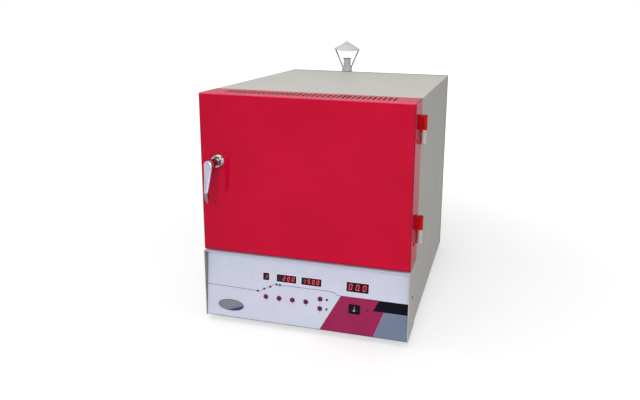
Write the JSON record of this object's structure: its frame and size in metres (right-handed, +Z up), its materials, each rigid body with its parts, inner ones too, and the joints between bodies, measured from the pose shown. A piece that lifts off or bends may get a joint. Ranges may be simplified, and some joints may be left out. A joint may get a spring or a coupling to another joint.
{
  "type": "dental burnout furnace",
  "caption": "Bench-top dental burnout furnace with an insulated swing door, lever latch, ceramic muffle, leaning control console and a capped chimney behind the case.",
  "frame": {"origin": "centre of the furnace's box in plan, on the table under its feet", "axes": "+Z up, +Y from the door to the back of the furnace, +X to the right of someone who faces the door"},
  "size_m": [0.5146, 0.761, 0.6535],
  "materials": {
    "case_enamel": "satin",
    "panel_enamel": "satin",
    "overlay_print": "satin",
    "door_enamel": "gloss",
    "hinge_enamel": "gloss",
    "rear_enamel": "satin",
    "zinc_steel": "satin",
    "stainless_steel": "satin",
    "chrome_plate": "polished",
    "heating_wire": "matte",
    "fired_ceramic": "matte",
    "fibre_board": "matte",
    "fibre_rope": "matte",
    "display_window": "gloss",
    "button_plastic": "gloss",
    "black_plastic": "satin",
    "badge_alloy": "satin",
    "circuit_board": "satin",
    "laminated_core": "satin",
    "heat_sink_alloy": "satin",
    "foot_rubber": "matte"
  },
  "bodies": {
    "furnace": {"outer_case": "case_enamel", "base_pan": "zinc_steel", "rear_cover": "rear_enamel", "front_frame": "case_enamel", "console_ledge": "panel_enamel", "control_panel": "panel_enamel", "panel_overlay": "overlay_print", "chamber_shelf": "zinc_steel", "chamber_jacket": "zinc_steel", "muffle": "fired_ceramic", "insulation_floor": "fibre_board", "insulation_hood": "fibre_board", "insulation_rear": "fibre_board", "heating_element_left": "heating_wire", "heating_element_right": "heating_wire", "thermocouple": "stainless_steel", "flue_duct": "stainless_steel", "hinge_socket_upper": "case_enamel", "hinge_socket_lower": "case_enamel", "program_display": "display_window", "setpoint_display": "display_window", "time_display": "display_window", "chamber_display": "display_window", "power_switch_body": "black_plastic", "badge_plate": "badge_alloy", "control_board": "circuit_board", "transformer": "laminated_core", "power_relay": "heat_sink_alloy", "cable_gland": "black_plastic", "flue_elbow": "stainless_steel", "stack_collar": "stainless_steel", "stack_tube": "stainless_steel", "chimney_cap": "stainless_steel", "foot_front_left": "foot_rubber", "foot_front_right": "foot_rubber", "foot_back_left": "foot_rubber", "foot_back_right": "foot_rubber", "cheek_screw_left": "stainless_steel", "cheek_screw_right": "stainless_steel"},
    "door": {"door_shell": "door_enamel", "door_back_panel": "zinc_steel", "door_tray": "zinc_steel", "door_insulation": "fibre_board", "door_gasket": "fibre_rope", "hinge_leaf_upper": "hinge_enamel", "hinge_leaf_lower": "hinge_enamel", "door_bolt_upper": "hinge_enamel", "door_bolt_lower": "hinge_enamel", "handle_escutcheon": "chrome_plate"},
    "handle": {"handle_stem": "chrome_plate", "handle_lever": "chrome_plate", "latch_shaft": "stainless_steel"},
    "button_1": {"button_1": "button_plastic"},
    "button_2": {"button_2": "button_plastic"},
    "button_3": {"button_3": "button_plastic"},
    "button_4": {"button_4": "button_plastic"},
    "button_5": {"button_5": "button_plastic"},
    "button_6": {"button_6": "button_plastic"},
    "power_rocker": {"power_rocker": "black_plastic"}
  },
  "joints": [
    {"name": "door_hinge", "type": "hinge", "parent": "furnace", "child": "door", "pos_m": [0.25135, -0.23375, 0.37], "axis": [0, 0, 1], "range_deg": [0, 135]},
    {"name": "handle_turn", "type": "hinge", "parent": "door", "child": "handle", "pos_m": [-0.21275, -0.36, 0.4032], "axis": [0, -1, 0], "range_deg": [0, 90]},
    {"name": "button_1_press", "type": "slide", "parent": "furnace", "child": "button_1", "axis": [0, 0.9947, -0.103], "range_m": [0, 0.0012], "stiffness_N_per_m": 1200, "springref_m": -0.0003},
    {"name": "button_2_press", "type": "slide", "parent": "furnace", "child": "button_2", "axis": [0, 0.9947, -0.103], "range_m": [0, 0.0012], "stiffness_N_per_m": 1200, "springref_m": -0.0003},
    {"name": "button_3_press", "type": "slide", "parent": "furnace", "child": "button_3", "axis": [0, 0.9947, -0.103], "range_m": [0, 0.0012], "stiffness_N_per_m": 1200, "springref_m": -0.0003},
    {"name": "button_4_press", "type": "slide", "parent": "furnace", "child": "button_4", "axis": [0, 0.9947, -0.103], "range_m": [0, 0.0012], "stiffness_N_per_m": 1200, "springref_m": -0.0003},
    {"name": "button_5_press", "type": "slide", "parent": "furnace", "child": "button_5", "axis": [0, 0.9947, -0.103], "range_m": [0, 0.0012], "stiffness_N_per_m": 1200, "springref_m": -0.0003},
    {"name": "button_6_press", "type": "slide", "parent": "furnace", "child": "button_6", "axis": [0, 0.9947, -0.103], "range_m": [0, 0.0012], "stiffness_N_per_m": 1200, "springref_m": -0.0003},
    {"name": "power_rocker_tilt", "type": "hinge", "parent": "furnace", "child": "power_rocker", "pos_m": [0.11755, -0.31324, 0.07387], "axis": [1, 0, 0], "range_deg": [0, 18]}
  ]
}
